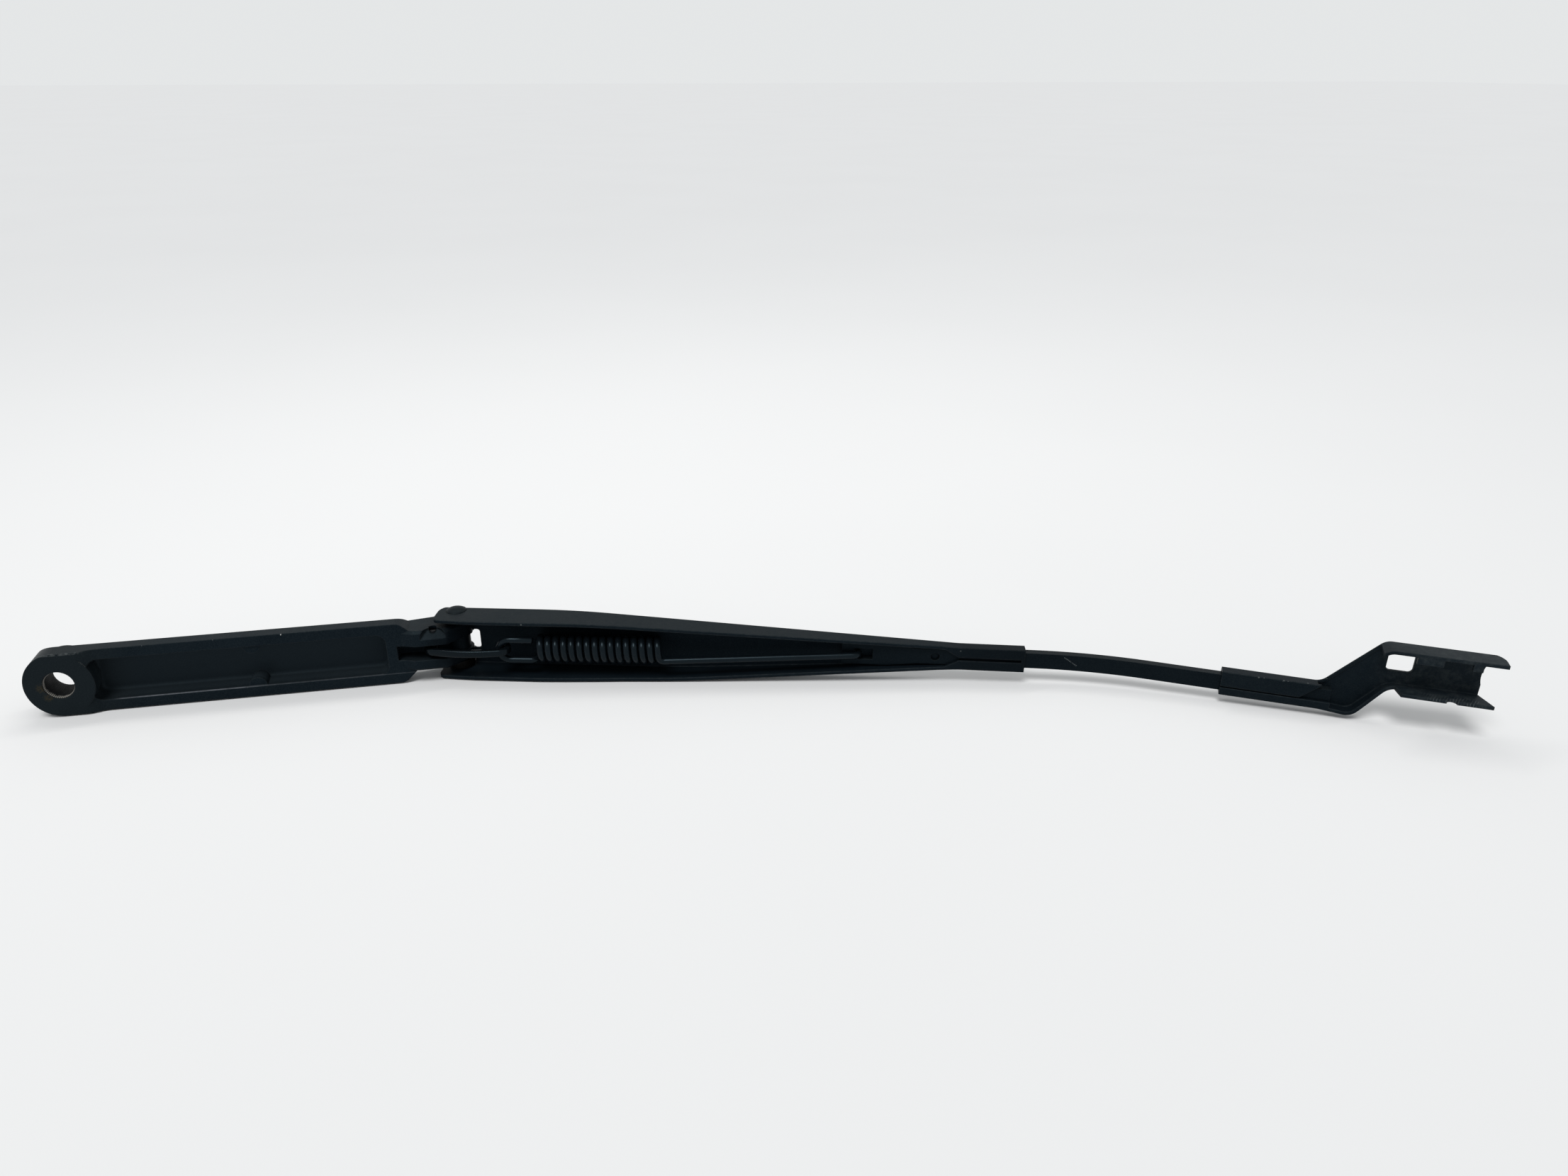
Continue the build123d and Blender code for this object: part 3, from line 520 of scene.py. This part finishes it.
bar_paint = black_paint(
    "bar_paint", grain_strength=0.25, rough=(0.32, 0.46), tone=0.75, top_light_and_dust=0.25,
    specular=0.05, rounding=0.0004, chips=ROD_CHIPS,
)
wire_paint = black_paint(
    "spring_wire_paint", grain_strength=0.4, rough=(0.18, 0.26), tone=0.6, top_light_and_dust=0.05, wear_and_highlight=0.15,
    specular=0.15, rounding=0.0003,
)
link_paint = black_paint(
    "link_paint", grain_strength=0.4, rough=(0.16, 0.25), tone=0.4, top_light_and_dust=0.05, wear_and_highlight=0.4,
    specular=0.13, rounding=0.0003,
)
pin_metal = bare_metal("pin_metal", PIN_STEEL, PIN_DIRT)
bush_metal = bare_metal("bush_metal", BUSH_BRONZE, BUSH_DIRT, (0.4, 0.6))
tooth_metal = tooth_material()

finishes = {
    "mounting_head": cast_paint,
    "arm_channel": sheet_paint,
    "blade_connector": connector_paint,
    "hinge_rivet": rivet_paint,
    "wiper_rod": bar_paint,
    "tension_spring": wire_paint,
    "spring_link": link_paint,
    "hook_pin": pin_metal,
    "upper_hinge_bush": bush_metal,
    "lower_hinge_bush": bush_metal,
}
for name, material in finishes.items():
    mesh = nodes[name].data
    mesh.materials.clear()
    mesh.materials.append(material)
    mesh.shade_smooth()


def new_piece(name, mesh_builder, material):
    mesh = bpy.data.meshes.new(name)
    mesh_builder.to_mesh(mesh)
    mesh_builder.free()
    mesh.materials.append(material)
    mesh.shade_smooth()
    piece = bpy.data.objects.new(name, mesh)
    bpy.context.scene.collection.objects.link(piece)
    return piece


# The spring's wire
def arc_points(start, tangent, end, steps):
    """Points after start on the arc that leaves it along tangent and reaches end."""
    chord = end - start
    across = chord - tangent * chord.dot(tangent)
    radius = chord.length_squared / (2.0 * across.length)
    side = across.normalized()
    centre = start + side * radius
    angle = 2.0 * math.atan2(chord.dot(side), chord.dot(tangent))
    found = []
    for k in range(1, steps + 1):
        a = angle * k / steps
        found.append(centre - side * radius * math.cos(a) + tangent * radius * math.sin(a))
    return found


def spring_points():
    """The wire's middle line in its own frame: z along the pull, x across the arm."""
    r = COIL_RADIUS
    lead = math.atan(COIL_PITCH / (2 * math.pi * r))
    turn = WIRE_BEND * math.tan((math.pi / 2 - lead) / 2)
    elbow = r + LOOP_LEG
    half = COIL_STEPS // 2
    line = [Vector((-r, 0, r + LOOP_FREE_LEG))]
    for k in range(half + 1):
        a = math.pi * k / half
        line.append(Vector((-r * math.cos(a), 0, r - r * math.sin(a))))
    line.append(Vector((r, 0, elbow)))
    base = Vector((0, -turn * math.cos(lead), elbow + turn * (1 + math.sin(lead))))
    count = round(COIL_TURNS * COIL_STEPS)
    coil = []
    for k in range(count + 1):
        a = -2 * math.pi * k / COIL_STEPS
        coil.append(base + Vector((r * math.cos(a), r * math.sin(a), COIL_PITCH * k / COIL_STEPS)))
    line += arc_points(line[-1], Vector((0, 0, 1)), coil[0], BEND_STEPS)[:-1]
    line += coil
    last = -2 * math.pi * COIL_TURNS
    way = Vector((math.sin(last) * math.cos(lead), -math.cos(last) * math.cos(lead), math.sin(lead)))
    corner = coil[-1] + way * turn
    target = Vector((0, 0, (SPRING_SEAT - SPRING_LOOP).length))
    leg = (target - corner).normalized()
    leg_start = corner + leg * turn
    line += arc_points(coil[-1], way, leg_start, BEND_STEPS)
    hook_start = target - leg * WIRE_BEND
    line.append(hook_start)
    hook_end = target + Vector((0, -WIRE_BEND, 0))
    line += arc_points(hook_start, leg, hook_end, BEND_STEPS)
    line.append(hook_end + Vector((0, -HOOK_TIP, 0)))
    return line


def wire_mesh(points, sides, profile, flat_side=None):
    """A tube along points with the given profile, its end rims eased."""
    builder = bmesh.new()
    last = len(points) - 1
    ways = []
    for k in range(len(points)):
        before = points[max(k - 1, 0)]
        after = points[min(k + 1, last)]
        ways.append((after - before).normalized())
    side = ways[0].cross(flat_side) if flat_side else ways[0].orthogonal().normalized()
    rings = []

    def ring(middle, across, up, size):
        made = []
        for k in range(sides):
            u, v = profile(2 * math.pi * k / sides)
            made.append(builder.verts.new(middle + (across * u + up * v) * size))
        rings.append(made)

    for k, (point, way) in enumerate(zip(points, ways)):
        side = (side - way * side.dot(way)).normalized()
        up = way.cross(side)
        if k == 0:
            ring(point, side, up, END_SHRINK)
            ring(point + way * END_EASE, side, up, 1.0)
        elif k == last:
            ring(point - way * END_EASE, side, up, 1.0)
            ring(point, side, up, END_SHRINK)
        else:
            ring(point, side, up, 1.0)
    for low, high in zip(rings, rings[1:]):
        for k in range(sides):
            n = (k + 1) % sides
            builder.faces.new((low[k], low[n], high[n], high[k]))
    builder.faces.new(list(reversed(rings[0])))
    builder.faces.new(rings[-1])
    return builder


def round_profile(angle):
    return WIRE_RADIUS * math.cos(angle), WIRE_RADIUS * math.sin(angle)


pull = (SPRING_SEAT - SPRING_LOOP).normalized()
across = Vector((0, 0, 1))
across = (across - pull * across.dot(pull)).normalized()
upward = pull.cross(across)
wire_line = [SPRING_LOOP - across * p.x + upward * p.y + pull * p.z for p in spring_points()]
spring = new_piece("spring_wire", wire_mesh(wire_line, WIRE_SIDES, round_profile), wire_paint)
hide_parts("tension_spring")
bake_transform(spring)


# The hook between the pin and the spring's loop
def strap_profile(angle):
    """Flat strap with well rounded corners."""
    c, n = math.cos(angle), math.sin(angle)
    wide = math.copysign(abs(c) ** LINK_CORNER_POWER, c) * LINK_HALF_WIDTH
    deep = math.copysign(abs(n) ** LINK_CORNER_POWER, n) * LINK_HALF_DEPTH
    return wide, deep


def link_points():
    """The hook's middle line, x along the pull from the pin and y towards the back."""
    line = []
    for k in range(LINK_STEPS + 1):
        a = math.pi / 2 + math.pi * k / LINK_STEPS
        line.append(Vector((LINK_PIN_BEND * math.cos(a), LINK_PIN_BEND * math.sin(a), 0)))
    start, end = -LINK_PIN_BEND, -LINK_WIRE_BEND
    sag = LINK_LOW + (start + end) / 2
    for k in range(1, LINK_STEPS):
        t = k / LINK_STEPS
        line.append(Vector((LINK_LENGTH * t, start + (end - start) * t - 4 * sag * t * (1 - t), 0)))
    for k in range(LINK_STEPS + 1):
        a = -math.pi / 2 + math.pi * k / LINK_STEPS
        line.append(Vector((LINK_LENGTH + LINK_WIRE_BEND * math.cos(a), LINK_WIRE_BEND * math.sin(a), 0)))
    return line


level = Vector((SPRING_SEAT.x - LINK_PIN.x, SPRING_SEAT.y - LINK_PIN.y, 0)).normalized()
behind = Vector((-level.y, level.x, 0))
hook_line = [LINK_PIN + level * p.x + behind * p.y for p in link_points()]
hook_mesh = wire_mesh(hook_line, LINK_SIDES, strap_profile, Vector((0, 0, 1)))
hook = new_piece("spring_hook", hook_mesh, link_paint)
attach(hook, "link")
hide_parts("spring_link")


# The lip that closes the web's rear edge round the knuckle, and the round-cornered rim of its window
def add_prism(builder, low, high):
    """A closed prism between two loops of points."""
    rings = [[builder.verts.new(point) for point in loop] for loop in (low, high)]
    count = len(low)
    for k in range(count):
        n = (k + 1) % count
        builder.faces.new((rings[0][k], rings[0][n], rings[1][n], rings[1][k]))
    builder.faces.new(list(reversed(rings[0])))
    builder.faces.new(rings[1])


def lip_outline():
    """Section of the lip: along the web and its depth, both from the hinge."""
    first, last = (math.asin(depth / LIP_RADIUS) for depth in (LIP_INNER_DEPTH, LIP_OUTER_DEPTH))
    outline = []
    for k in range(LIP_STEPS + 1):
        a = first + (last - first) * k / LIP_STEPS
        outline.append((LIP_RADIUS * math.cos(a), LIP_RADIUS * math.sin(a)))
    return outline + [(LIP_ROOT, LIP_OUTER_DEPTH), (LIP_ROOT, LIP_INNER_DEPTH)]


def rim_outline():
    """Rim of the window, open towards the hinge: along the web and its height."""
    r = WINDOW_ROUND
    near, far = WINDOW_LEFT + r, WINDOW_RIGHT - r
    low, high = WINDOW_LOW + r, WINDOW_HIGH - r
    right = math.pi / 2
    cut = math.acos((RIM_LEFT - near) / r)
    outline = [(RIM_LEFT, RIM_HIGH), (RIM_RIGHT, RIM_HIGH), (RIM_RIGHT, RIM_LOW), (RIM_LEFT, RIM_LOW)]
    turns = (
        (near, low, -cut, -right), (far, low, -right, 0.0),
        (far, high, 0.0, right), (near, high, right, cut),
    )
    for x, z, start, end in turns:
        for k in range(LIP_STEPS + 1):
            a = start + (end - start) * k / LIP_STEPS
            outline.append((x + r * math.cos(a), z + r * math.sin(a)))
    return outline


def lip_mesh():
    turned = math.radians(ARM_DROOP)
    along = Vector((math.cos(turned), -math.sin(turned), 0))
    outward = Vector((math.sin(turned), math.cos(turned), 0))
    up = Vector((0, 0, 1))

    def place(x, depth, height):
        return HINGE_PLACE + along * x + outward * depth + up * height

    builder = bmesh.new()
    for span in LIP_SPANS:
        add_prism(builder, *([place(x, d, z) for x, d in lip_outline()] for z in span))
    add_prism(builder, *([place(x, d, z) for x, z in rim_outline()] for d in RIM_DEPTHS))
    bmesh.ops.recalc_face_normals(builder, faces=builder.faces)
    return builder


lip = new_piece("web_lip", lip_mesh(), sheet_paint)
lip.data.shade_flat()
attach(lip, "arm")


# The bore's serrations
def serration_mesh():
    """A closed ring in the bore: teeth inside, plain outside."""
    count = TOOTH_COUNT * len(TOOTH_PROFILE)
    levels = (
        (TOOTH_FROM, 0.0), (TOOTH_FROM, 0.15), (TOOTH_FROM + TOOTH_LEAD_IN, 1.0),
        (TOOTH_TO - TOOTH_LEAD_OUT, 1.0), (TOOTH_TO, 0.2), (TOOTH_TO, 0.0),
    )
    builder = bmesh.new()
    rings = []
    for height, depth in levels:
        ring = []
        for k in range(count):
            a = 2 * math.pi * k / count
            tip = TOOTH_PROFILE[k % len(TOOTH_PROFILE)]
            r = BORE_RADIUS - (BORE_RADIUS - TOOTH_TIP_RADIUS) * tip * depth
            ring.append(builder.verts.new((r * math.cos(a), height, r * math.sin(a))))
        rings.append(ring)
    for low, high in zip(rings, rings[1:] + rings[:1]):
        for k in range(count):
            n = (k + 1) % count
            builder.faces.new((low[k], high[k], high[n], low[n]))
    bmesh.ops.recalc_face_normals(builder, faces=builder.faces)
    return builder


serrations = new_piece("bore_serrations", serration_mesh(), tooth_metal)
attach(serrations, "head")

# The floor lies under the part's lowest point
floor_builder = bmesh.new()
bmesh.ops.create_grid(floor_builder, x_segments=2, y_segments=2, size=FLOOR_HALF_SIZE)
floor = new_piece("floor", floor_builder, floor_material())
floor.location = (FLOOR_X, FLOOR_Y, cad_box[0][2])

# Soft light from all round, with a pale backdrop for the camera and for reflections
world = bpy.data.worlds.new("studio")
world.use_nodes = True
world_nodes = world.node_tree.nodes
links = world.node_tree.links
background = world_nodes["Background"]
background.inputs["Color"].default_value = SKY_LIGHT
background.inputs["Strength"].default_value = SKY_STRENGTH
seen = world_nodes.new("ShaderNodeBackground")
seen.inputs["Color"].default_value = BACKDROP
path = world_nodes.new("ShaderNodeLightPath")
shown = path.outputs["Is Camera Ray"]
for other in ("Is Glossy Ray", "Is Transmission Ray"):
    either = world_nodes.new("ShaderNodeMath")
    either.operation = "MAXIMUM"
    links.new(shown, either.inputs[0])
    links.new(path.outputs[other], either.inputs[1])
    shown = either.outputs[0]
chooser = world_nodes.new("ShaderNodeMixShader")
links.new(shown, chooser.inputs[0])
links.new(background.outputs[0], chooser.inputs[1])
links.new(seen.outputs[0], chooser.inputs[2])
links.new(chooser.outputs[0], world_nodes["World Output"].inputs["Surface"])
bpy.context.scene.world = world


def facing(way):
    """The turn that points a lamp along way."""
    return Vector(way).to_track_quat("-Z", "Y").to_euler()


softbox = bpy.data.lights.new("top_light", "AREA")
softbox.shape = "RECTANGLE"
softbox.size, softbox.size_y = SOFTBOX_SIZE
softbox.energy = SOFTBOX_POWER
softbox.color = SOFTBOX_COLOUR
softbox_holder = bpy.data.objects.new("top_light", softbox)
softbox_holder.location = SOFTBOX_PLACE
softbox_holder.rotation_euler = facing(Vector(SOFTBOX_AIM) - Vector(SOFTBOX_PLACE))
bpy.context.scene.collection.objects.link(softbox_holder)

key = bpy.data.lights.new("key_light", "SUN")
key.energy = KEY_STRENGTH
key.angle = math.radians(KEY_ANGLE)
key_holder = bpy.data.objects.new("key_light", key)
key_holder.rotation_euler = facing(KEY_WAY)
bpy.context.scene.collection.objects.link(key_holder)

camera_data = bpy.data.cameras.new("camera")
camera_data.lens = CAMERA_LENS
camera_data.sensor_width = CAMERA_SENSOR
camera_data.clip_start = CAMERA_NEAR
camera = bpy.data.objects.new("camera", camera_data)
camera.location = CAMERA_PLACE
camera.rotation_euler = [math.radians(a) for a in CAMERA_TURN]
bpy.context.scene.collection.objects.link(camera)
bpy.context.scene.camera = camera
bpy.context.scene.view_settings.view_transform = "Standard"
